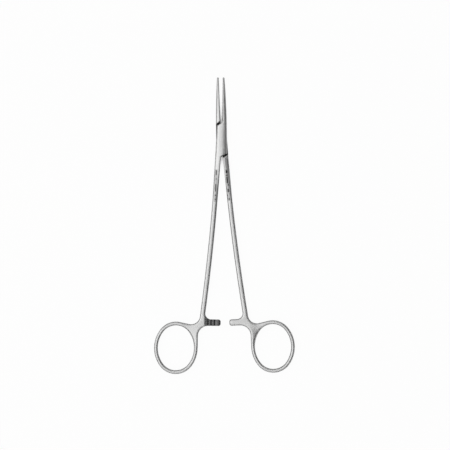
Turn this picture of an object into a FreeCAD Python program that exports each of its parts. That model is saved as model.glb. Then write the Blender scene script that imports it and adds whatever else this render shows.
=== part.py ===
import FreeCAD, Part
import math
import os

# A long, slender, straight haemostatic forceps with a box lock and a ratchet, in stainless steel.
# It lies flat: +Y runs from the pivot to the jaw tips, +X to the right, +Z up out of the table.
# The origin is where the pivot axis meets the flat of the box's underside.
# Each arm is drawn shut, in its own frame about the pivot, and is then opened to its place at rest.

# Driving dimensions, in millimetres and degrees.

# How far the forceps stands open at rest, both arms together.
rest_opening = 3.6

# Box lock: the widths are measured across both arms, shut.
box_reach = 11.2
box_width_at_jaws = 5.8
box_width_at_shanks = 7.4
box_thickness = 4.6
crown_radius = 8.0
box_edge_width = 0.9
box_edge_height = 1.15
grinding = 0.02
cheek_end_setback = 0.9
cheek_end_slant = 32.0
shoulder_gap = 1.1
window_gap = 0.35
tongue_thickness = 1.5
tongue_side_clearance = 0.03

# Rivet that pins the tongue inside the box.
rivet_diameter = 3.0
rivet_running_clearance = 0.03

# Jaws.
jaw_reach = 37.9
jaw_middle_width = 2.16
jaw_middle_thickness = 2.95
jaw_tip_width = 1.07
jaw_tip_thickness = 1.45
jaw_back_round = 0.68
jaw_back_height = 0.38
jaw_tip_gap = 0.02
jaw_root_gap = 0.16
jaw_bevel_slope = 1.0
jaw_bevel_start = 3.9
jaw_bevel_end = 0.85
serration_pitch = 0.65
serration_depth = 0.24
serration_land = 0.06
serration_start = 2.2
serration_end_margin = 0.7

# Shanks: each splays out from the box and bows outwards on a long radius.
shank_width = 3.0
shank_root_gap = 0.3
shank_taper_length = 26.0
shank_splay = 2.4
shank_bow_radius = 1250.0
shank_straight_length = 13.0
arm_thickness = 3.2
arm_edge_radius = 1.05
sharp_edge_break = 0.05

# Ratchet bars and their saw teeth.
ratchet_reach = 111.0
ratchet_bar_width = 3.9
ratchet_tip_radius = 1.3
ratchet_past_centre_box = 1.35
ratchet_past_centre_tongue = 0.25
ratchet_pitch = 2.05
ratchet_teeth = 3
ratchet_first_crest = 1.8
ratchet_tooth_height = 0.7
ratchet_mesh_depth = 0.5
ratchet_back_rake = 0.12

# Finger rings and the webs that carry them. A ring's centre is placed from the foot of its shank,
# level with the ratchet bar.
ring_centre_offset = 15.3
ring_centre_drop = 15.65
ring_opening_width = 22.0
ring_opening_length = 27.3
ring_end_sharpness = 0.6
ring_wire = 2.2
web_drop = 2.3
web_outer_radius = 5.4
web_inner_radius = 6.3
crotch_radius = 3.5

# Room that the cutting tools are given past the metal.
OVERRUN = 20.0
SMALL_OVERRUN = 1.0

# The most of a wall that its rounded edges may take up.
ROUNDING_SHARE = 0.95

# How near two points must lie to count as one.
SAME_PLACE = 0.001

X_AXIS = FreeCAD.Vector(1, 0, 0)
Z_AXIS = FreeCAD.Vector(0, 0, 1)
PIVOT = FreeCAD.Vector(0, 0, 0)
QUARTER_ARC_WEIGHT = math.sqrt(0.5)

cheek_end_reach = box_reach - cheek_end_setback
shank_straight_end = ratchet_reach - shank_straight_length
arm_round = min(arm_edge_radius, ROUNDING_SHARE * min(ring_wire, arm_thickness, shank_width) / 2)
box_edge = (box_edge_width, box_edge_height)
sharp_edge = (sharp_edge_break, sharp_edge_break)


def point(x, y, z=0.0):
    return FreeCAD.Vector(x, y, z)


def mix(first, last, share):
    return first + (last - first) * share


def polygon_prism(corners, low, high):
    """A straight prism over a plan polygon, from height low to height high."""
    ring = [point(x, y, low) for x, y in corners]
    face = Part.Face(Part.makePolygon(ring + ring[:1]))
    return face.extrude(point(0, 0, high - low))


def mirrored(shape):
    return shape.mirror(PIVOT, X_AXIS)


def section(centre, across, inner, outer, thickness, inner_corner, outer_corner, crown_top=None):
    """A closed section that stands across an arm: flat sides, and lands that rounded corners lead into.

    inner and outer are distances from the centre along across. Each corner is (its width, its height).
    The lower land is flat, so that the box lies firm. The upper one is crowned where crown_top says how
    far along across the crown is highest.
    """
    half = thickness / 2
    inner_land, inner_flat = inner + inner_corner[0], half - inner_corner[1]
    outer_land, outer_flat = outer - outer_corner[0], half - outer_corner[1]

    def is_crowned(side):
        return crown_top is not None and side > 0

    def land_height(u, side):
        if not is_crowned(side):
            return half
        return half - crown_radius + math.sqrt(crown_radius ** 2 - (u - crown_top) ** 2)

    def land_slope(u, side):
        if not is_crowned(side):
            return 0.0
        return (crown_top - u) / math.sqrt(crown_radius ** 2 - (u - crown_top) ** 2)

    def at(u, z):
        return centre + across * u + Z_AXIS * z

    def flat_side(u, first, last):
        return Part.LineSegment(at(u, first), at(u, last)).toShape()

    def land(first, last, side):
        ends = at(first, side * land_height(first, side)), at(last, side * land_height(last, side))
        if not is_crowned(side):
            return Part.LineSegment(*ends).toShape()
        middle = (first + last) / 2
        return Part.Arc(ends[0], at(middle, side * land_height(middle, side)), ends[1]).toShape()

    def round_corner(u, flat, land_end, side, towards_land):
        top = land_height(land_end, side)
        tip = top + land_slope(land_end, side) * (u - land_end)
        poles = [at(u, side * flat), at(u, side * tip), at(land_end, side * top)]
        curve = Part.BezierCurve()
        curve.setPoles(poles if towards_land else poles[::-1])
        curve.setWeight(2, QUARTER_ARC_WEIGHT)
        return curve.toShape()

    return Part.Wire([
        flat_side(inner, -inner_flat, inner_flat),
        round_corner(inner, inner_flat, inner_land, 1, True),
        land(inner_land, outer_land, 1),
        round_corner(outer, outer_flat, outer_land, 1, False),
        flat_side(outer, outer_flat, -outer_flat),
        round_corner(outer, outer_flat, outer_land, -1, True),
        land(outer_land, inner_land, -1),
        round_corner(inner, inner_flat, inner_land, -1, False),
    ])


# Box block

def box_block():
    """The block that both arms are cut from: a crowned top, rounded edges and an underside ground flat."""
    sections = []
    for y, width in ((box_reach, box_width_at_jaws), (-box_reach, box_width_at_shanks)):
        sections.append(section(
            point(0, y, -grinding / 2), X_AXIS, -width / 2, width / 2, box_thickness + grinding,
            box_edge, box_edge, crown_top=0,
        ))
    wheel = Part.makeBox(
        2 * OVERRUN, 2 * OVERRUN, OVERRUN, point(-OVERRUN, -OVERRUN, -box_thickness / 2 - OVERRUN),
    )
    return Part.makeLoft(sections, True, True).cut(wheel)


# Jaw, drawn on the right of the axis

def jaw_gap(y):
    """Half the gap between the shut jaws, which meet at their tips first."""
    return mix(jaw_root_gap, jaw_tip_gap, (y - box_reach) / (jaw_reach - box_reach))


def jaw_blank():
    """A jaw that tapers to its tip in both views, with a round back."""
    sections = []
    for share, outer, thickness in (
        (0.0, box_width_at_jaws / 2, box_thickness),
        (0.5, jaw_middle_width, jaw_middle_thickness),
        (1.0, jaw_tip_width, jaw_tip_thickness),
    ):
        y = mix(box_reach, jaw_reach, share)
        inner = jaw_gap(y) - jaw_root_gap
        corner = (jaw_back_round * outer, jaw_back_height * thickness) if share else box_edge
        sections.append(section(
            point(0, y), X_AXIS, inner, outer, thickness, sharp_edge, corner, crown_top=0,
        ))
    return Part.makeLoft(sections, True, False)


def gripping_face_cut(groove_shift):
    """What is ground off to leave the gripping face, with its row of V grooves."""
    first = box_reach + serration_start
    count = int((jaw_reach - serration_end_margin - first) / serration_pitch)
    half = (serration_pitch - serration_land) / 2
    end = jaw_reach + SMALL_OVERRUN
    back = -jaw_root_gap - SMALL_OVERRUN
    outline = [(back, box_reach), (jaw_gap(box_reach), box_reach)]
    for groove in range(count):
        y = first + (groove + groove_shift) * serration_pitch
        outline += [
            (jaw_gap(y - half), y - half),
            (jaw_gap(y) + serration_depth, y),
            (jaw_gap(y + half), y + half),
        ]
    outline += [(jaw_gap(end), end), (back, end)]
    return polygon_prism(outline, -OVERRUN, OVERRUN)


def jaw_bevel(side):
    """The flat along one edge of the gripping face: side is 1 for the upper edge, -1 for the lower."""
    ends = []
    for y, height in ((box_reach, jaw_bevel_start / 2), (jaw_reach + SMALL_OVERRUN, jaw_bevel_end / 2)):
        near, far = jaw_gap(y) - SMALL_OVERRUN, jaw_gap(y) + SMALL_OVERRUN
        low, high = height - SMALL_OVERRUN * jaw_bevel_slope, height + SMALL_OVERRUN * jaw_bevel_slope
        corners = [point(near, y, low * side), point(far, y, high * side), point(near, y, high * side)]
        ends.append(Part.makePolygon(corners + corners[:1]))
    return Part.makeLoft(ends, True, True)


def tip_rounding():
    """What rounds a jaw tip off, seen from above and from the side."""
    plan_radius = (jaw_tip_width - jaw_tip_gap) / 2
    side_radius = jaw_tip_thickness / 2
    tools = []
    for radius, axis, base in (
        (plan_radius, Z_AXIS, point(jaw_tip_gap + plan_radius, jaw_reach - plan_radius, -OVERRUN)),
        (side_radius, X_AXIS, point(-OVERRUN, jaw_reach - side_radius, 0)),
    ):
        corner = point(-OVERRUN, jaw_reach - radius, -OVERRUN)
        block = Part.makeBox(2 * OVERRUN, 2 * radius, 2 * OVERRUN, corner)
        tools.append(block.cut(Part.makeCylinder(radius, 2 * OVERRUN, base, axis)))
    return tools


def jaw(groove_shift):
    return jaw_blank().cut([gripping_face_cut(groove_shift), jaw_bevel(1), jaw_bevel(-1)] + tip_rounding())


# Arm below the box, drawn on the right of the axis

def shank_heading(y):
    """The angle between the shank's centre line and the axis, in radians."""
    return math.asin(math.sin(math.radians(shank_splay)) + (-box_reach - y) / shank_bow_radius)


def shank_across(y):
    return point(math.cos(shank_heading(y)), math.sin(shank_heading(y)))


def shank_point(y, off_centre=0.0):
    """The point of the centre line level with y, or one beside it."""
    root = (box_width_at_shanks / 2 + shank_root_gap) / 2
    bow = math.cos(math.radians(shank_splay)) - math.cos(shank_heading(y))
    return point(root + shank_bow_radius * bow, y) + shank_across(y) * off_centre


def shank_root():
    """The taper from the box down to the shank's own section."""
    root = shank_point(-box_reach)
    root_width = box_width_at_shanks / 2 - shank_root_gap
    low_y = -box_reach - shank_taper_length
    rounded = (arm_round, arm_round)
    return Part.makeLoft([
        section(
            root, X_AXIS, -root_width / 2, root_width / 2,
            box_thickness, sharp_edge, box_edge, crown_top=-root.x,
        ),
        section(
            shank_point(low_y), shank_across(low_y), -shank_width / 2, shank_width / 2,
            arm_thickness, rounded, rounded,
        ),
    ], True, True)


class Outline:
    """A plan outline of straight runs and tangent arcs."""

    def __init__(self, start):
        self.edges = []
        self.last = start
        self.cut_middles = []

    def line_to(self, end):
        if self.last.distanceToPoint(end) > SAME_PLACE:
            self.edges.append(Part.LineSegment(self.last, end).toShape())
            self.last = end

    def cut_to(self, end):
        """Runs straight across the arm where the next piece of it carries on."""
        self.cut_middles.append((self.last + end) * 0.5)
        self.line_to(end)

    def arc_to(self, middle, end):
        self.edges.append(Part.Arc(self.last, middle, end).toShape())
        self.last = end

    def corner(self, tip, after, radius):
        """Runs to the corner at tip and rounds it on the way to the point after."""
        arrive = (tip - self.last).normalize()
        leave = (after - tip).normalize()
        half_turn_tangent = math.tan(arrive.getAngle(leave) / 2)
        room = min(tip.distanceToPoint(self.last), tip.distanceToPoint(after))
        back = min(radius * half_turn_tangent, ROUNDING_SHARE * room)
        radius = back / half_turn_tangent
        inward = (leave - arrive).normalize()
        middle = tip + inward * (math.hypot(radius, back) - radius)
        self.line_to(tip - arrive * back)
        self.arc_to(middle, tip + leave * back)


def on_circle(centre, radius, angle):
    return centre + point(math.cos(angle), math.sin(angle)) * radius


class RingOval:
    """The ring's oval, set off outwards: two end arcs and two flatter side arcs."""

    def __init__(self, offset):
        half_x, half_y = ring_opening_width / 2, ring_opening_length / 2
        end = half_x * (half_x / half_y) ** ring_end_sharpness
        side = (half_x ** 2 + half_y ** 2 - 2 * half_y * end) / (2 * (half_x - end))
        centre = point(shank_point(-ratchet_reach).x + ring_centre_offset, -ratchet_reach - ring_centre_drop)
        self.turn = math.atan2(half_y - end, side - half_x)
        self.end_radius = end + offset
        self.side_radius = side + offset
        self.top = centre + point(0, half_y - end)
        self.bottom = centre - point(0, half_y - end)
        self.left_arc_centre = centre + point(side - half_x, 0)
        self.right_arc_centre = centre - point(side - half_x, 0)
        self.leftmost = centre - point(half_x + offset, 0)

    def tangent_angle(self, start):
        """Where a straight run from start touches the top arc."""
        away = start - self.top
        return math.atan2(away.y, away.x) - math.acos(self.end_radius / away.Length)


def ring_loop(top_angle):
    """The free part of the ring, anticlockwise from its leftmost point to an angle on its top arc."""
    oval = RingOval(0)
    rounded = (arm_round, arm_round)
    spans = []
    for centre, radius, first, last in (
        (oval.left_arc_centre, oval.side_radius, math.pi, math.pi + oval.turn),
        (oval.bottom, oval.end_radius, math.pi + oval.turn, 2 * math.pi - oval.turn),
        (oval.right_arc_centre, oval.side_radius, -oval.turn, oval.turn),
        (oval.top, oval.end_radius, oval.turn, top_angle),
    ):
        across = on_circle(PIVOT, 1, first)
        wire = section(centre, across, radius, radius + ring_wire, arm_thickness, rounded, rounded)
        spans.append(Part.Face(wire).revolve(centre, Z_AXIS, math.degrees(last - first)))
    return spans


def arm_plate(past_centre):
    """The shank below its root, the ratchet bar and the web, with rounded edges, and the ring loop."""
    top_y = -box_reach - shank_taper_length
    low_y = -shank_straight_end
    middle_y = (top_y + low_y) / 2
    half_width = shank_width / 2
    heading = shank_heading(low_y)
    down = point(math.sin(heading), -math.cos(heading))

    def along(start, y):
        return start + down * ((start.y - y) / -down.y)

    oval, hole = RingOval(ring_wire), RingOval(0)
    bar_top = -ratchet_reach + ratchet_bar_width / 2
    bar_bottom = -ratchet_reach - ratchet_bar_width / 2
    crotch = along(shank_point(low_y, -half_width), bar_top)
    web_corner = along(shank_point(low_y, half_width), -ratchet_reach - web_drop)
    web_root = point(oval.leftmost.x, bar_bottom)
    tip_top, tip_bottom = point(-past_centre, bar_top), point(-past_centre, bar_bottom)
    top_angle = oval.tangent_angle(web_corner)
    side_last = math.pi - hole.turn

    outline = Outline(shank_point(top_y, -half_width))
    outline.arc_to(shank_point(middle_y, -half_width), shank_point(low_y, -half_width))
    outline.corner(crotch, tip_top, crotch_radius)
    outline.corner(tip_top, tip_bottom, ratchet_tip_radius)
    outline.corner(tip_bottom, web_root, ratchet_tip_radius)
    outline.corner(web_root, oval.leftmost, web_inner_radius)
    outline.line_to(oval.leftmost)
    outline.cut_to(hole.leftmost)
    outline.arc_to(
        on_circle(hole.left_arc_centre, hole.side_radius, (math.pi + side_last) / 2),
        on_circle(hole.left_arc_centre, hole.side_radius, side_last),
    )
    outline.arc_to(
        on_circle(hole.top, hole.end_radius, (side_last + top_angle) / 2),
        on_circle(hole.top, hole.end_radius, top_angle),
    )
    outline.cut_to(on_circle(oval.top, oval.end_radius, top_angle))
    outline.corner(web_corner, shank_point(low_y, half_width), web_outer_radius)
    outline.line_to(shank_point(low_y, half_width))
    outline.arc_to(shank_point(middle_y, half_width), shank_point(top_y, half_width))
    outline.cut_to(shank_point(top_y, -half_width))

    blank = Part.Face(Part.Wire(outline.edges)).extrude(point(0, 0, arm_thickness))
    blank.translate(point(0, 0, -arm_thickness / 2))
    rounded = []
    for edge in blank.Edges:
        middle = edge.valueAt((edge.FirstParameter + edge.LastParameter) / 2)
        lies_flat = edge.BoundBox.ZLength < SAME_PLACE
        plan_middle = point(middle.x, middle.y)
        if lies_flat and all(plan_middle.distanceToPoint(cut) > SAME_PLACE for cut in outline.cut_middles):
            rounded.append(edge)
    return blank.makeFillet(arm_round, rounded), ring_loop(top_angle)


def ratchet_cut(past_centre):
    """What is milled off a ratchet bar's upper side to leave its saw teeth."""
    crest = ratchet_mesh_depth / 2
    valley = crest - ratchet_tooth_height
    start = -past_centre - SMALL_OVERRUN
    profile = [(start, valley), (-past_centre, valley)]
    for tooth in range(ratchet_teeth):
        top = ratchet_first_crest + tooth * ratchet_pitch
        profile += [(top, crest), (top + ratchet_back_rake, valley)]
    low = -ratchet_reach - ratchet_bar_width / 2 - SMALL_OVERRUN
    high = -ratchet_reach + ratchet_bar_width / 2 + crotch_radius
    wall = max(shank_point(high, -shank_width / 2).x, profile[-1][0] + ratchet_back_rake)
    profile += [(wall, crest), (wall, OVERRUN), (start, OVERRUN)]
    corners = [point(x, low, z) for x, z in profile]
    face = Part.Face(Part.makePolygon(corners + corners[:1]))
    return face.extrude(point(0, high - low, 0))


def lower_arm(past_centre, teeth_up):
    plate, ring = arm_plate(past_centre)
    teeth = ratchet_cut(past_centre)
    if not teeth_up:
        teeth = teeth.mirror(PIVOT, Z_AXIS)
    return plate.cut(teeth).fuse(ring + [shank_root()])


# Box lock cuts, with the arms shut

def end_slant():
    """How much the slanted ends of the box drop for each millimetre across."""
    return math.tan(math.radians(cheek_end_slant))


def half_turn(corners):
    return [(-x, -y) for x, y in corners]


def cheek_notch(root_gap):
    """Frees the side of the box where the other arm comes out."""
    wide = box_width_at_shanks
    return [
        (0, cheek_end_reach),
        (root_gap, cheek_end_reach),
        (root_gap, box_reach),
        (-wide, box_reach),
        (-wide, cheek_end_reach - end_slant() * wide),
    ]


def window():
    """The slot through the box, seen from above: the arm's own roots close its far corners."""
    wide = box_width_at_shanks
    upper = [
        (-wide, cheek_end_reach),
        (0, cheek_end_reach),
        (wide, cheek_end_reach - end_slant() * wide),
    ]
    return upper + half_turn(upper)


def tongue_relief(root_gap):
    """Frees the tongue from the root of the other arm."""
    wide = box_width_at_shanks
    end = cheek_end_reach - window_gap
    return [
        (-root_gap, box_reach),
        (-root_gap, end + end_slant() * root_gap),
        (wide, end - end_slant() * wide),
        (wide, box_reach),
    ]


def tongue_recess():
    """The stretch of the tongue that is thinned to pass between the cheeks."""
    wide = box_width_at_shanks
    end = cheek_end_reach + shoulder_gap
    upper = [(-wide, end - end_slant() * wide), (wide, end + end_slant() * wide)]
    return upper + half_turn(upper)


def rivet_hole(radius):
    return Part.makeCylinder(radius, 2 * OVERRUN, point(0, 0, -OVERRUN), Z_AXIS)


def box_half():
    """The arm with the box: jaw on the right, shank, ratchet bar and ring on the left."""
    slot_half = tongue_thickness / 2 + tongue_side_clearance
    block = box_block().cut([
        polygon_prism(cheek_notch(jaw_root_gap), -OVERRUN, OVERRUN),
        polygon_prism(half_turn(cheek_notch(shank_root_gap)), -OVERRUN, OVERRUN),
        polygon_prism(window(), -slot_half, slot_half),
        rivet_hole(rivet_diameter / 2),
    ])
    return block.fuse([jaw(0.0), mirrored(lower_arm(ratchet_past_centre_box, True))])


def tongue_half():
    """The arm with the tongue: jaw on the left, shank, ratchet bar and ring on the right."""
    half = tongue_thickness / 2
    whole = box_block().fuse([mirrored(jaw(0.5)), lower_arm(ratchet_past_centre_tongue, False)])
    return whole.cut([
        polygon_prism(tongue_relief(jaw_root_gap), -OVERRUN, OVERRUN),
        polygon_prism(half_turn(tongue_relief(shank_root_gap)), -OVERRUN, OVERRUN),
        polygon_prism(tongue_recess(), half, OVERRUN),
        polygon_prism(tongue_recess(), -OVERRUN, -half),
        rivet_hole(rivet_diameter / 2 + rivet_running_clearance),
    ])


def pivot_rivet():
    """A plain pin, ground flush with the crown of the box on both sides."""
    return box_block().common(rivet_hole(rivet_diameter / 2))


def one_solid(name, shape):
    shape = shape.removeSplitter()
    if len(shape.Solids) != 1 or not shape.isValid():
        raise RuntimeError("%s came out as %d solids, valid %s" % (name, len(shape.Solids), shape.isValid()))
    return shape.Solids[0]


def main():
    os.makedirs("parts", exist_ok=True)
    for name, shape, turn in (
        ("box_half", box_half(), -rest_opening / 2),
        ("tongue_half", tongue_half(), rest_opening / 2),
        ("pivot_rivet", pivot_rivet(), -rest_opening / 2),
    ):
        solid = one_solid(name, shape)
        solid.rotate(PIVOT, Z_AXIS, turn)
        solid.translate(point(0, 0, box_thickness / 2))
        solid.exportStep(os.path.join("parts", name + ".step"))
        print(name, "volume %.1f mm3" % solid.Volume, "faces", len(solid.Faces))


main()
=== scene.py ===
import math

import bpy
from bpy.props import FloatProperty, FloatVectorProperty, PointerProperty
from bpy.types import NodeSocket, Operator, Panel, PropertyGroup
from mathutils import Matrix, Vector

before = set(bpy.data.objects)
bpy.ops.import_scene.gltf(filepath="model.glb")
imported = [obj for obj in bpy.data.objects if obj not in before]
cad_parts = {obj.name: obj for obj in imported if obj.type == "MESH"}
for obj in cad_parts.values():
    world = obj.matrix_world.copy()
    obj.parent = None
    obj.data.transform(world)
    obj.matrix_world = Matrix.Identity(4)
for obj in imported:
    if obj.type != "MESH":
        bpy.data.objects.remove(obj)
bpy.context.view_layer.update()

bl_info = {
    "name": "Forceps Dresser",
    "version": (1, 0, 0),
    "blender": (4, 5, 0),
    "location": "3D View > Sidebar > Forceps",
    "description": "Gives the packed straight forceps its satin steel, its etched marks and a white studio",
    "category": "Object",
}

MM = 0.001
PER_METRE = (1 / MM, 1 / MM, 1 / MM)
PICTURE_SIDE = 450
SENSOR_WIDTH = 36.0

# How far each arm is turned from shut, and where the middle of its ring lies, in millimetres.
ARM_TURN = {"box_half": math.radians(-1.8), "tongue_half": math.radians(1.8)}
RING_CENTRE = {"box_half": (-25.49, -125.8), "tongue_half": (25.49, -125.8)}
RING_HALF_WIDTH = 11.0
RING_HALF_LENGTH = 13.65

# From where the brushing starts to turn, to where it runs round the ring.
RING_BRUSHING_FROM = RING_HALF_WIDTH + 6.0
RING_BRUSHING_TO = RING_HALF_WIDTH + 3.0

# The web slopes down to the ring's opening: which way it lies from the ring's middle, from where to where
# the slope sets in beside that way, how far out it starts, and how steep it is.
WEB_WAY = {"box_half": (0.74, 0.67), "tongue_half": (-0.74, 0.67)}
WEB_SIDE = 0.6
WEB_MIDDLE = 1.0
WEB_SLOPE_START = 15.5
WEB_FALL = 0.016

# The row of etched marks on each shank: where it starts, how it leans, the height of the flat that it is on,
# and how far below that flat it fades out.
MARK_START = {"box_half": (-3.41, -17.0), "tongue_half": (2.56, -17.0)}
MARK_LEAN = {"box_half": math.radians(-2.7), "tongue_half": math.radians(3.4)}
SHANK_TOP = 3.75
TOP_BAND = 0.1

# Each mark: how far down the row it starts, how far it stands aside, its length, its width, how dark it is.
# The dashes stand on a faint field, and the edges of both fade.
FIELD_EDGE = 0.7
FIELDS = {
    "box_half": (0.6, 0.0, 20.4, 2.4, 0.35),
    "tongue_half": (0.6, 0.0, 19.8, 2.2, 0.28),
}
DASH_EDGE = 0.12
DASHES = {
    "box_half": (
        (1.4, 0.1, 3.1, 0.7, 0.55),
        (6.0, 0.1, 1.4, 0.6, 0.4),
        (9.8, 0.0, 4.6, 0.8, 0.55),
        (16.2, 0.0, 0.9, 0.8, 0.55),
        (18.6, 0.0, 1.0, 0.8, 0.5),
    ),
    "tongue_half": (
        (1.5, 0.0, 1.9, 1.1, 1.0),
        (4.2, -0.1, 0.9, 1.0, 1.0),
        (5.5, 0.0, 4.0, 0.9, 0.95),
        (10.0, 0.5, 1.0, 0.8, 0.8),
        (12.8, 0.2, 2.1, 0.9, 0.75),
        (16.4, -0.5, 0.9, 0.7, 0.7),
        (18.3, 0.4, 1.6, 0.7, 0.7),
    ),
}

# Lengths from here on are in metres. Where the lock's and the ratchet's milled faces are:
LOCK_REACH = 0.0138
SHANK_MIDDLE = 0.069
RATCHET_REACH = 0.1107
RATCHET_HALF_WIDTH = 0.0062
MIDDLE_HEIGHT = 0.0023
SUNK_HEIGHT = 0.0009

# The ratchet teeth: which way they look, from where to where they rise, and the painted shade in their
# valleys and painted highlight on their crests, which rise with them.
TEETH_LOOK = {"box_half": 1.0, "tongue_half": -1.0}
TOOTH_VALLEY = -0.0005
TOOTH_CREST = 0.0002
VALLEY_SHADE = 0.05
CREST_HIGHLIGHT = 2.4

# Where the jaws begin, and which way their gripping faces look.
JAW_ROOT = 0.0112
GRIP_SIDE = {"box_half": -1.0, "tongue_half": 1.0}

# The rivet, the hairline seam round it, and the ground ring where the box isn't rounded.
RIVET_RADIUS = 0.0015
SEAM_FROM = 0.92 * RIVET_RADIUS
SEAM_TO = 0.98 * RIVET_RADIUS
SEAM_STRENGTH = 0.3
GROUND_FROM = 2.2 * RIVET_RADIUS
GROUND_TO = 1.5 * RIVET_RADIUS

# How much of a face's normal points up or down on a top, a side and a milled floor, lengthwise on a milled
# wall, and inwards on a grip.
TOP_LOOK = 0.85
SIDE_LOOK = 0.35
FLOOR_LOOK = 0.3
WALL_LOOK = 0.6
GRIP_LOOK_FROM = 0.35
GRIP_LOOK_TO = 0.55

# How much open sky a place sees: on the steel in the open and deep down, between which a recess gets its
# painted shade, in the lock's nooks and beside them, and on the table in a slot and beside it. The painted
# shade's tone in a nook and the share of the floor's glow in a slot are what nook and slot keep.
OPEN_SKY = 0.85
DEEP_SKY = 0.35
NOOK_SKY = 0.6
NOOK_OPEN_SKY = 0.95
NOOK_SHADE = 0.12
SLOT_SKY = 0.1
TABLE_SKY = 0.28
SLOT_SHADE_GLOW = 0.2

# The noise of the brushing and of the cloudiness, and the part of its range that is used.
STROKE_NOISE = {"Scale": 1.0, "Detail": 5.0, "Roughness": 0.65}
CLOUD_NOISE = {"Scale": 90.0, "Detail": 3.0, "Roughness": 0.5}
NOISE_LOW = 0.3
NOISE_HIGH = 0.7
STROKE_SHARE = 0.7
CLOUD_SHARE = 0.3
MILLED_TONE_LOW = 0.9
MILLED_TONE_HIGH = 1.2
STROKE_STRENGTH = 0.5

# Roughness: how far the brushing varies it, and what the dull steel, the oxide and the paper have.
SATIN_SPREAD = 0.05
DULL_ROUGHNESS = 0.55
OXIDE_ROUGHNESS = 0.65
PAPER_ROUGHNESS = 0.5

STEEL_SKY_SAMPLES = 6
TABLE_SKY_SAMPLES = 16
EDGE_SAMPLES = 8

# The low cards stand a little nearer than the tall one. The lamp looks at the shanks.
LOW_CARD_SHARE = 0.95
CARD_STEPS = 24
KEY_TARGET = (0, -0.05, 0)

# The sockets of a Mix node that carry colours and vectors.
COLOUR_A, COLOUR_B, COLOUR_RESULT = 6, 7, 2
VECTOR_A, VECTOR_B, VECTOR_RESULT = 4, 5, 1


class SteelFinish(PropertyGroup):
    light_grey: FloatVectorProperty(
        name="Light grey", description="Where the satin finish is brightest",
        subtype="COLOR", size=3, min=0, max=1, default=(0.76, 0.76, 0.755),
    )
    dark_grey: FloatVectorProperty(
        name="Dark grey", description="Where the satin finish is darkest",
        subtype="COLOR", size=3, min=0, max=1, default=(0.62, 0.62, 0.62),
    )
    # Painted shade: this grey darkens grooves and corners that see little open sky; it also colours the
    # rivet's hairline seam.
    shade_and_seam_grey: FloatVectorProperty(
        name="Shade and seam grey", description="Painted shade in grooves and corners, and the rivet's hairline seam",
        subtype="COLOR", size=3, min=0, max=1, default=(0.16, 0.16, 0.16),
    )
    # Partly the duller milled steel, partly painted shade inside the lock and on the ratchet.
    milled_and_shade_grey: FloatVectorProperty(
        name="Milled and shade grey", description="The unpolished steel inside the lock and on the ratchet teeth, darkened further as painted shade there",
        subtype="COLOR", size=3, min=0, max=1, default=(0.16, 0.16, 0.16),
    )
    # Partly the unpolished grip, partly painted shade between the jaws.
    grip_and_shade_grey: FloatVectorProperty(
        name="Grip and shade grey", description="The steel between the jaws, which the broach left unpolished, darkened further as painted shade between them",
        subtype="COLOR", size=3, min=0, max=1, default=(0.2, 0.2, 0.2),
    )
    # Painted shade: the grey that faces turned towards the side are darkened to.
    side_shade_grey: FloatVectorProperty(
        name="Side shade grey", description="Painted shade down the steep sides",
        subtype="COLOR", size=3, min=0, max=1, default=(0.16, 0.16, 0.16),
    )
    etched_grey: FloatVectorProperty(
        name="Etched grey", description="The oxide of an etched mark",
        subtype="COLOR", size=3, min=0, max=1, default=(0.06, 0.06, 0.06),
    )
    roughness: FloatProperty(
        name="Roughness", description="How dull the satin finish is",
        subtype="FACTOR", min=0, max=1, default=0.34,
    )
    stroke_width: FloatProperty(
        name="Stroke width", description="Width of the brushing strokes",
        subtype="DISTANCE", unit="LENGTH", min=0.00001, default=0.0004,
    )
    stroke_length: FloatProperty(
        name="Stroke length", description="Length of the brushing strokes",
        subtype="DISTANCE", unit="LENGTH", min=0.0001, default=0.018,
    )
    stroke_depth: FloatProperty(
        name="Stroke depth", description="Depth of the brushing strokes",
        subtype="DISTANCE", unit="LENGTH", min=0, default=0.000004,
    )
    edge_round: FloatProperty(
        name="Edge round", description="How far from an edge the polish has rounded it",
        subtype="DISTANCE", unit="LENGTH", min=0, default=0.0016,
    )
    # How far the ambient occlusion looks for walls that cast the recesses' painted shade.
    shade_reach: FloatProperty(
        name="Shade reach", description="How near another wall has to be for a place to get a recess's painted shade",
        subtype="DISTANCE", unit="LENGTH", min=0, default=0.0012,
    )


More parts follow.
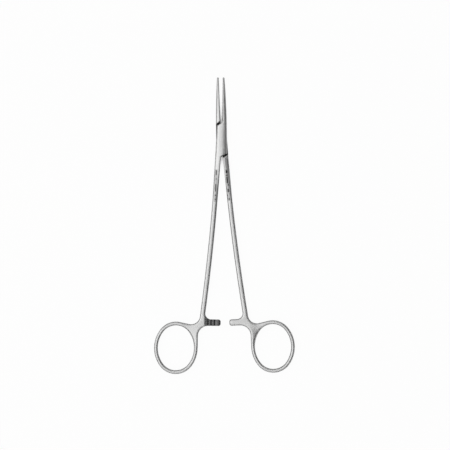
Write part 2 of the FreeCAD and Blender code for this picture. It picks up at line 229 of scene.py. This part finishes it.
class StudioSettings(PropertyGroup):
    floor_size: FloatProperty(
        name="Floor size", description="Side of the square floor",
        subtype="DISTANCE", unit="LENGTH", min=0.5, default=8.0,
    )
    floor_colour: FloatVectorProperty(
        name="Floor colour", description="The paper that the forceps lies on",
        subtype="COLOR", size=3, min=0, max=1, default=(0.9, 0.9, 0.9),
    )
    floor_glow: FloatProperty(
        name="Floor glow", description="How much of the floor that the camera sees is plain white",
        subtype="FACTOR", min=0, max=1, default=0.96,
    )
    slot_shade_reach: FloatProperty(
        name="Slot shade reach", description="How deep a narrow slot has to be for the floor in it to get painted shade",
        subtype="DISTANCE", unit="LENGTH", min=0, default=0.004,
    )
    sky_level: FloatProperty(
        name="Sky level", description="Brightness of the white tent over the table",
        min=0, default=1.1,
    )
    key_power: FloatProperty(
        name="Key power", description="Power of the soft lamp on the left",
        subtype="POWER", unit="POWER", min=0, default=1.1,
    )
    key_size: FloatProperty(
        name="Key size", description="Side of the soft lamp on the left",
        subtype="DISTANCE", unit="LENGTH", min=0.01, default=0.9,
    )
    key_place: FloatVectorProperty(
        name="Key place", description="Where the soft lamp stands",
        subtype="TRANSLATION", unit="LENGTH", size=3, default=(-0.8, 0.0, 0.75),
    )
    card_reach: FloatProperty(
        name="Card reach", description="How far from the forceps the tall card stands",
        subtype="DISTANCE", unit="LENGTH", min=0.1, default=1.3,
    )
    right_card_rise: FloatProperty(
        name="Right card rise", description="How far up over the table the tall card on the right curves",
        subtype="ANGLE", unit="ROTATION", min=0, default=math.radians(78),
    )
    low_card_rise: FloatProperty(
        name="Low card rise", description="How far up over the table the low cards on three sides curve",
        subtype="ANGLE", unit="ROTATION", min=0, default=math.radians(28),
    )
    card_grey: FloatVectorProperty(
        name="Card grey", description="The grey of the tall card's paper",
        subtype="COLOR", size=3, min=0, max=1, default=(0.5, 0.5, 0.5),
    )
    low_card_grey: FloatVectorProperty(
        name="Low card grey", description="The grey of the low cards' paper",
        subtype="COLOR", size=3, min=0, max=1, default=(0.06, 0.06, 0.06),
    )
    dark_card_grey: FloatVectorProperty(
        name="Dark card grey", description="The grey of the paper low on the right",
        subtype="COLOR", size=3, min=0, max=1, default=(0.1, 0.1, 0.1),
    )
    dark_card_rise: FloatProperty(
        name="Dark card rise", description="How far up the card low on the right curves",
        subtype="ANGLE", unit="ROTATION", min=0, default=math.radians(40),
    )
    camera_lens: FloatProperty(
        name="Lens", description="Focal length in millimetres",
        min=10, default=135.0,
    )
    picture_scale: FloatProperty(
        name="Picture scale", description="How much of the table one pixel covers",
        subtype="DISTANCE", unit="LENGTH", min=0.00001, default=0.000608,
    )
    pivot_pixel: FloatVectorProperty(
        name="Pivot pixel", description="Where the pivot stands in the picture, from its upper left corner",
        size=2, default=(221.6, 140.0),
    )
    camera_roll: FloatProperty(
        name="Camera roll", description="How far the forceps is turned in the picture",
        subtype="ANGLE", unit="ROTATION", default=math.radians(0.79),
    )


class Surface:
    """A material's nodes, added and joined by short calls."""

    def __init__(self, name):
        self.material = bpy.data.materials.new(name)
        self.material.use_nodes = True
        self.tree = self.material.node_tree
        self.tree.nodes.clear()
        self.output = self.add("OutputMaterial")

    def feed(self, socket, value):
        if isinstance(value, NodeSocket):
            self.tree.links.new(value, socket)
        else:
            socket.default_value = value

    def add(self, kind, sockets=None, **settings):
        node = self.tree.nodes.new("ShaderNode" + kind)
        for name, value in settings.items():
            setattr(node, name, value)
        for name, value in (sockets or {}).items():
            self.feed(node.inputs[name], value)
        return node

    def show(self, shader):
        self.feed(self.output.inputs["Surface"], shader)

    def math(self, operation, *values):
        node = self.add("Math", operation=operation)
        for socket, value in zip(node.inputs, values):
            self.feed(socket, value)
        return node.outputs["Value"]

    def size(self, value):
        return self.math("ABSOLUTE", value)

    def times(self, first, second):
        return self.math("MULTIPLY", first, second)

    def largest(self, first, *others):
        for other in others:
            first = self.math("MAXIMUM", first, other)
        return first

    def along(self, x, y, way_x, way_y):
        """How far the place x, y lies along a way."""
        return self.math("ADD", self.times(x, way_x), self.times(y, way_y))

    def distance(self, x, y):
        return self.math("SQRT", self.along(x, y, x, y))

    def place(self):
        return self.add("TexCoord").outputs["Object"]

    def split(self, vector):
        return self.add("SeparateXYZ", {"Vector": vector}).outputs

    def facing(self):
        return self.split(self.add("TexCoord").outputs["Normal"])

    def mapped(self, vector, **sockets):
        return self.add("Mapping", {"Vector": vector, **sockets}).outputs["Vector"]

    def noise(self, vector, sockets, **settings):
        return self.add("TexNoise", {"Vector": vector, **sockets}, **settings).outputs["Fac"]

    def open_sky(self, reach, samples):
        """How much of the sky nothing within reach hides."""
        return self.add("AmbientOcclusion", {"Distance": reach}, samples=samples).outputs["AO"]

    def ramp(self, value, low, high, to_low=0.0, to_high=1.0):
        """value, from low to high, carried smoothly to_low to to_high."""
        return self.add("MapRange", {
            "Value": value, "From Min": low, "From Max": high, "To Min": to_low, "To Max": to_high,
        }, interpolation_type="SMOOTHSTEP").outputs["Result"]

    def blend(self, share, first, second, kind="MIX"):
        node = self.add("Mix", {"Factor": share}, data_type="RGBA", blend_type=kind)
        self.feed(node.inputs[COLOUR_A], first)
        self.feed(node.inputs[COLOUR_B], second)
        return node.outputs[COLOUR_RESULT]

    def steel(self, colour, roughness, normal):
        self.show(self.add("BsdfPrincipled", {
            "Base Color": colour, "Metallic": 1.0, "Roughness": roughness, "Normal": normal,
        }).outputs["BSDF"])


def rgba(colour):
    return (*colour, 1.0)


def from_ring(surface, place, node_name):
    """A place from the ring's middle in millimetres, squeezed until the ring is round, and its distance."""
    centre_x, centre_y = RING_CENTRE[node_name]
    squeeze = RING_HALF_WIDTH / RING_HALF_LENGTH
    parts = surface.split(surface.mapped(
        place, Scale=(1 / MM, squeeze / MM, 1 / MM), Location=(-centre_x, -centre_y * squeeze, 0),
    ))
    return parts, surface.distance(parts["X"], parts["Y"])


def brushing(surface, place, node_name, finish):
    """Fine strokes, down the shanks and jaws and round the ring."""
    fine, coarse = MM / finish.stroke_width, MM / finish.stroke_length
    upright = surface.mapped(place, Rotation=(0, 0, -ARM_TURN[node_name]), Scale=PER_METRE)
    down = surface.noise(surface.mapped(upright, Scale=(fine, coarse, fine)), STROKE_NOISE)

    parts, radius = from_ring(surface, place, node_name)
    cosine, sine = (
        surface.times(surface.math("DIVIDE", parts[axis], radius), RING_HALF_WIDTH * coarse)
        for axis in ("X", "Y")
    )
    round_ring = surface.add("CombineXYZ", {
        "X": surface.times(radius, fine), "Y": surface.times(parts["Z"], fine), "Z": cosine,
    }).outputs["Vector"]
    circling = surface.noise(round_ring, {**STROKE_NOISE, "W": sine}, noise_dimensions="4D")
    on_ring = surface.ramp(radius, RING_BRUSHING_FROM, RING_BRUSHING_TO)
    return surface.add("Mix", {"Factor": on_ring, "A": down, "B": circling}).outputs["Result"]


def web_relief(surface, place, node_name):
    """How far the web stands below the arm's flat, in millimetres."""
    parts, radius = from_ring(surface, place, node_name)
    towards_web = surface.math("DIVIDE", surface.along(parts["X"], parts["Y"], *WEB_WAY[node_name]), radius)
    inwards = surface.math("MAXIMUM", surface.math("SUBTRACT", WEB_SLOPE_START, radius), 0.0)
    fall = surface.times(surface.times(inwards, inwards), -WEB_FALL)
    return surface.times(fall, surface.ramp(towards_web, WEB_SIDE, WEB_MIDDLE))


def one_mark(surface, across, down, mark, edge):
    """How dark one etched mark is."""
    start, shift, length, width, strength = mark
    aside = surface.size(surface.math("SUBTRACT", across, shift))
    from_middle = surface.size(surface.math("SUBTRACT", down, start + length / 2))
    inside_width = surface.ramp(aside, width / 2, width / 2 - edge)
    inside_length = surface.ramp(from_middle, length / 2, length / 2 - edge, 0.0, strength)
    return surface.times(inside_width, inside_length)


def etched_marks(surface, place, node_name):
    """How dark the etched marks are, nought off the shank's upper flat."""
    lean = MARK_LEAN[node_name]
    offset = Matrix.Rotation(-lean, 3, "Z") @ Vector((*MARK_START[node_name], 0))
    parts = surface.split(surface.mapped(
        place, Scale=PER_METRE, Rotation=(0, 0, -lean), Location=-offset,
    ))
    down = surface.times(parts["Y"], -1.0)
    total = one_mark(surface, parts["X"], down, FIELDS[node_name], FIELD_EDGE)
    for dash in DASHES[node_name]:
        total = surface.math("ADD", total, one_mark(surface, parts["X"], down, dash, DASH_EDGE))
    return surface.times(total, surface.ramp(parts["Z"], SHANK_TOP - TOP_BAND, SHANK_TOP))


def milled_faces(surface, place):
    """One on the faces that only a mill has touched: inside the box lock, and the ratchet teeth."""
    facing = surface.facing()
    parts = surface.split(place)
    from_ratchet = surface.size(surface.math("ADD", parts["Y"], RATCHET_REACH))
    from_middle = surface.size(surface.math("SUBTRACT", parts["Z"], MIDDLE_HEIGHT))
    in_lock = surface.math("LESS_THAN", surface.size(parts["Y"]), LOCK_REACH)
    on_ratchet = surface.math("LESS_THAN", from_ratchet, RATCHET_HALF_WIDTH)
    lies_flat = surface.math("GREATER_THAN", surface.size(facing["Z"]), FLOOR_LOOK)
    sunk = surface.times(lies_flat, surface.math("LESS_THAN", from_middle, SUNK_HEIGHT))
    floors = surface.times(sunk, surface.largest(in_lock, on_ratchet))
    stands = surface.math("GREATER_THAN", surface.size(facing["Y"]), WALL_LOOK)
    return surface.largest(floors, surface.times(in_lock, stands))


def milled_shade_and_highlight(surface, place, node_name, clouds, sky, finish):
    """The milled steel's grey, with painted shade in the lock's nooks and in the valleys between the teeth,
    and a painted highlight on the teeth's crests.
    """
    parts = surface.split(place)
    above_middle = surface.math("SUBTRACT", parts["Z"], MIDDLE_HEIGHT)
    up_tooth = surface.times(above_middle, TEETH_LOOK[node_name])
    # Painted shade low on each tooth and painted highlight high on it, by its height.
    tooth_shade_and_highlight = surface.ramp(up_tooth, TOOTH_VALLEY, TOOTH_CREST, VALLEY_SHADE, CREST_HIGHLIGHT)
    # Painted shade in the lock's nooks, where little open sky is seen.
    nook_shade = surface.ramp(sky, NOOK_SKY, NOOK_OPEN_SKY, NOOK_SHADE, 1.0)
    on_ratchet = surface.math("GREATER_THAN", surface.size(parts["Y"]), SHANK_MIDDLE)
    with_painted_light = surface.add("Mix", {"Factor": on_ratchet, "A": nook_shade, "B": tooth_shade_and_highlight}).outputs["Result"]
    uneven = surface.ramp(clouds, NOISE_LOW, NOISE_HIGH, MILLED_TONE_LOW, MILLED_TONE_HIGH)
    tone = surface.times(uneven, with_painted_light)
    grey = surface.add("CombineColor", {"Red": tone, "Green": tone, "Blue": tone}).outputs["Color"]
    return surface.blend(1.0, rgba(finish.milled_and_shade_grey), grey, "MULTIPLY")


def gripping_faces(surface, place, node_name):
    """One on the faces that the jaws grip with, and on their bevels."""
    inwards = surface.times(surface.facing()["X"], GRIP_SIDE[node_name])
    on_jaw = surface.math("GREATER_THAN", surface.split(place)["Y"], JAW_ROOT)
    return surface.times(on_jaw, surface.ramp(inwards, GRIP_LOOK_FROM, GRIP_LOOK_TO))


def polished_normal(surface, place, unpolished, finish):
    """The normal with the edges rounded by the polish, and as built where it hasn't been or by the rivet."""
    parts = surface.split(place)
    by_rivet = surface.ramp(surface.distance(parts["X"], parts["Y"]), GROUND_FROM, GROUND_TO)
    rounded = surface.add("Bevel", {"Radius": finish.edge_round}, samples=EDGE_SAMPLES)
    mixed = surface.add("Mix", {"Factor": surface.largest(unpolished, by_rivet)}, data_type="VECTOR")
    surface.feed(mixed.inputs[VECTOR_A], rounded.outputs["Normal"])
    surface.feed(mixed.inputs[VECTOR_B], surface.add("NewGeometry").outputs["Normal"])
    return mixed.outputs[VECTOR_RESULT]


def brushed_normal(surface, strokes, finish, **below):
    return surface.add("Bump", {
        "Strength": STROKE_STRENGTH, "Distance": finish.stroke_depth, "Height": strokes, **below,
    }).outputs["Normal"]


def satin_steel(node_name, finish):
    """Brushed stainless steel for one arm, dull in its recesses, with painted shade in them, down its sides
    and between the jaws, and with its etched marks.
    """
    surface = Surface("satin_steel_" + node_name)
    place = surface.place()
    strokes = brushing(surface, place, node_name, finish)
    clouds = surface.noise(place, CLOUD_NOISE)
    sky = surface.open_sky(finish.shade_reach, STEEL_SKY_SAMPLES)
    # Painted shade: the steeper a face, the more it takes the side shade grey.
    side_shade = surface.ramp(surface.size(surface.facing()["Z"]), TOP_LOOK, SIDE_LOOK)
    # Painted shade: places that nearby walls hide from the sky are darkened towards the shade grey.
    recess_shade = surface.ramp(sky, OPEN_SKY, DEEP_SKY)
    # The faces that look towards the other jaw: unpolished steel that is darkened further as painted shade.
    grip_and_shade = gripping_faces(surface, place, node_name)
    milled = milled_faces(surface, place)
    marks = etched_marks(surface, place, node_name)

    mottling = surface.along(strokes, clouds, STROKE_SHARE, CLOUD_SHARE)
    tone = surface.ramp(mottling, NOISE_LOW, NOISE_HIGH)
    colour = surface.blend(tone, rgba(finish.dark_grey), rgba(finish.light_grey))
    # Painted shade over the satin tone on the sides, in the recesses, between the jaws and on the milled
    # faces, with a painted highlight on the tooth crests; the etched marks are print.
    for share, over in (
        (side_shade, rgba(finish.side_shade_grey)),
        (recess_shade, rgba(finish.shade_and_seam_grey)),
        (grip_and_shade, rgba(finish.grip_and_shade_grey)),
        (milled, milled_shade_and_highlight(surface, place, node_name, clouds, sky, finish)),
        (marks, rgba(finish.etched_grey)),
    ):
        colour = surface.blend(share, colour, over)

    smooth, rough = finish.roughness - SATIN_SPREAD, finish.roughness + SATIN_SPREAD
    satin = surface.ramp(strokes, NOISE_LOW, NOISE_HIGH, smooth, rough)
    dull = surface.times(surface.largest(recess_shade, milled, grip_and_shade), DULL_ROUGHNESS)
    roughness = surface.largest(satin, dull, surface.times(marks, OXIDE_ROUGHNESS))

    polished = polished_normal(surface, place, surface.largest(milled, grip_and_shade), finish)
    relief = surface.add("Bump", {
        "Strength": 1.0, "Distance": MM, "Height": web_relief(surface, place, node_name), "Normal": polished,
    }).outputs["Normal"]
    surface.steel(colour, roughness, brushed_normal(surface, strokes, finish, Normal=relief))
    return surface.material


def rivet_steel(finish):
    """The rivet's end, ground with the box it is flush with, inside a hairline seam."""
    surface = Surface("rivet_steel")
    place = surface.place()
    parts = surface.split(place)
    strokes = brushing(surface, place, "box_half", finish)
    tone = surface.ramp(strokes, NOISE_LOW, NOISE_HIGH)
    colour = surface.blend(tone, rgba(finish.dark_grey), rgba(finish.light_grey))
    from_axis = surface.distance(parts["X"], parts["Y"])
    seam = surface.ramp(from_axis, SEAM_FROM, SEAM_TO, 0.0, SEAM_STRENGTH)
    colour = surface.blend(seam, colour, rgba(finish.shade_and_seam_grey))
    surface.steel(colour, finish.roughness, brushed_normal(surface, strokes, finish))
    return surface.material


def seen_directly(tree):
    """One where the camera, a reflection or a clear body looks at the surface."""
    rays = tree.nodes.new("ShaderNodeLightPath")
    total = rays.outputs["Is Camera Ray"]
    for name in ("Is Glossy Ray", "Is Transmission Ray"):
        either = tree.nodes.new("ShaderNodeMath")
        either.operation = "MAXIMUM"
        tree.links.new(total, either.inputs[0])
        tree.links.new(rays.outputs[name], either.inputs[1])
        total = either.outputs["Value"]
    return total


def white_paper(studio):
    """White paper that keeps the shadow, with painted shade in the narrow slots between the arms, where its
    glow is cut back.
    """
    surface = Surface("white_paper")
    paper = surface.add("BsdfDiffuse", {"Color": rgba(studio.floor_colour), "Roughness": PAPER_ROUGHNESS})
    glow = surface.add("Emission", {"Color": (1, 1, 1, 1), "Strength": 1.0})
    sky = surface.open_sky(studio.slot_shade_reach, TABLE_SKY_SAMPLES)
    # Painted shade: where the arms close round a slot, the floor's glow drops to the slot's share.
    with_painted_light = surface.times(surface.ramp(sky, SLOT_SKY, TABLE_SKY, SLOT_SHADE_GLOW, 1.0), studio.floor_glow)
    both = surface.add("MixShader", {"Fac": surface.times(seen_directly(surface.tree), with_painted_light)})
    surface.feed(both.inputs[1], paper.outputs["BSDF"])
    surface.feed(both.inputs[2], glow.outputs["Emission"])
    surface.show(both.outputs["Shader"])
    return surface.material


def grey_card(name, grey):
    surface = Surface(name)
    surface.show(surface.add("BsdfDiffuse", {"Color": rgba(grey)}).outputs["BSDF"])
    return surface.material


def set_materials(node_name, material):
    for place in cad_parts[node_name].material_slots:
        place.material = material


def lay_floor(studio):
    bpy.ops.object.select_all(action="DESELECT")
    bpy.ops.mesh.primitive_plane_add(size=studio.floor_size)
    floor = bpy.context.object
    floor.name = "floor"
    floor.data.materials.append(white_paper(studio))


def curved_card(name, reach, azimuth, rise, paper):
    """A card that curves up over the table from its foot, seen in reflections only."""
    bpy.ops.object.select_all(action="DESELECT")
    bpy.ops.mesh.primitive_plane_add(size=2 * reach)
    card = bpy.context.object
    card.name = name
    bpy.ops.object.mode_set(mode="EDIT")
    bpy.ops.mesh.delete(type="ONLY_FACE")
    bpy.ops.object.mode_set(mode="OBJECT")
    for corner in card.data.vertices:
        corner.select = corner.co.x < 0
    for edge in card.data.edges:
        edge.select = all(card.data.vertices[end].select for end in edge.vertices)
    bpy.ops.object.mode_set(mode="EDIT")
    bpy.ops.mesh.select_mode(type="VERT")
    bpy.ops.mesh.delete(type="VERT")
    bpy.ops.mesh.select_all(action="SELECT")
    bpy.ops.mesh.spin(steps=CARD_STEPS, angle=rise, center=(0, 0, 0), axis=(0, 1, 0))
    bpy.ops.object.mode_set(mode="OBJECT")
    card.data.transform(Matrix.Rotation(azimuth, 4, "Z"))
    bpy.ops.object.shade_smooth()
    card.data.materials.append(paper)
    card.visible_camera = False


def stand_cards(studio):
    """A tall grey card on the right, a dark one low in front of it, and low dark ones on the other sides."""
    tall_paper = grey_card("grey_card", studio.card_grey)
    low_paper = grey_card("low_card", studio.low_card_grey)
    dark_paper = grey_card("dark_card", studio.dark_card_grey)
    near = LOW_CARD_SHARE * studio.card_reach
    curved_card("right_card", studio.card_reach, 0.0, studio.right_card_rise, tall_paper)
    curved_card("dark_card", near, 0.0, studio.dark_card_rise, dark_paper)
    curved_card("back_card", near, math.pi / 2, studio.low_card_rise, low_paper)
    curved_card("left_card", near, math.pi, studio.low_card_rise, low_paper)
    curved_card("front_card", near, -math.pi / 2, studio.low_card_rise, low_paper)


def hang_lamp(studio):
    bpy.ops.object.light_add(type="AREA", location=studio.key_place)
    key = bpy.context.object
    key.name = "key_lamp"
    key.data.shape = "SQUARE"
    key.data.size = studio.key_size
    key.data.energy = studio.key_power
    to_part = Vector(KEY_TARGET) - key.location
    key.rotation_euler = to_part.to_track_quat("-Z", "Y").to_euler()


def white_tent(studio):
    """A world that lights the part evenly, and is plain white where it is seen."""
    world = bpy.data.worlds.new("white_tent")
    world.use_nodes = True
    tree = world.node_tree
    level = tree.nodes.new("ShaderNodeMapRange")
    level.inputs["To Min"].default_value = studio.sky_level
    level.inputs["To Max"].default_value = 1.0
    tree.links.new(seen_directly(tree), level.inputs["Value"])
    background = tree.nodes["Background"]
    background.inputs["Color"].default_value = (1, 1, 1, 1)
    tree.links.new(level.outputs["Result"], background.inputs["Strength"])
    return world


def set_camera(studio):
    """A camera straight above, shifted and turned until the pivot stands where it does in the photo."""
    pivot_x, pivot_y = studio.pivot_pixel
    from_middle = Vector((pivot_x - PICTURE_SIDE / 2, PICTURE_SIDE / 2 - pivot_y, 0)) * studio.picture_scale
    height = PICTURE_SIDE * studio.picture_scale * studio.camera_lens / SENSOR_WIDTH
    roll = Matrix.Rotation(-studio.camera_roll, 3, "Z")
    bpy.ops.object.camera_add(location=roll @ -from_middle + Vector((0, 0, height)))
    camera = bpy.context.object
    camera.rotation_euler = (0, 0, -studio.camera_roll)
    camera.data.lens = studio.camera_lens
    camera.data.sensor_width = SENSOR_WIDTH
    return camera


class FORCEPS_OT_finish_arms(Operator):
    """Gives both arms their satin steel and etched marks"""
    bl_idname = "forceps.finish_arms"
    bl_label = "Finish Arms"

    def execute(self, context):
        for node_name in ("box_half", "tongue_half"):
            set_materials(node_name, satin_steel(node_name, context.scene.forceps_finish))
        return {"FINISHED"}


class FORCEPS_OT_finish_rivet(Operator):
    """Gives the rivet its ground end"""
    bl_idname = "forceps.finish_rivet"
    bl_label = "Finish Rivet"

    def execute(self, context):
        set_materials("pivot_rivet", rivet_steel(context.scene.forceps_finish))
        return {"FINISHED"}


class FORCEPS_OT_set_stage(Operator):
    """Lays out the white floor, the grey cards, the soft light and the camera"""
    bl_idname = "forceps.set_stage"
    bl_label = "Set Stage"

    def execute(self, context):
        scene = context.scene
        studio = scene.forceps_studio
        lay_floor(studio)
        stand_cards(studio)
        hang_lamp(studio)
        scene.world = white_tent(studio)
        scene.camera = set_camera(studio)
        scene.view_settings.view_transform = "Standard"
        return {"FINISHED"}


class FORCEPS_PT_dresser(Panel):
    bl_label = "Forceps"
    bl_idname = "FORCEPS_PT_dresser"
    bl_space_type = "VIEW_3D"
    bl_region_type = "UI"
    bl_category = "Forceps"

    def draw(self, context):
        column = self.layout.column(align=True)
        for operator in STEPS:
            column.operator(operator.bl_idname)
        for settings in (context.scene.forceps_finish, context.scene.forceps_studio):
            box = self.layout.box()
            for name in settings.bl_rna.properties.keys():
                if name not in ("rna_type", "name"):
                    box.prop(settings, name)


STEPS = (FORCEPS_OT_finish_arms, FORCEPS_OT_finish_rivet, FORCEPS_OT_set_stage)
CLASSES = (SteelFinish, StudioSettings, *STEPS, FORCEPS_PT_dresser)


def register():
    for added in CLASSES:
        bpy.utils.register_class(added)
    bpy.types.Scene.forceps_finish = PointerProperty(type=SteelFinish)
    bpy.types.Scene.forceps_studio = PointerProperty(type=StudioSettings)


def unregister():
    del bpy.types.Scene.forceps_studio
    del bpy.types.Scene.forceps_finish
    for added in reversed(CLASSES):
        bpy.utils.unregister_class(added)


def main():
    register()
    bpy.ops.forceps.finish_arms()
    bpy.ops.forceps.finish_rivet()
    bpy.ops.forceps.set_stage()


if __name__ == "__main__":
    main()
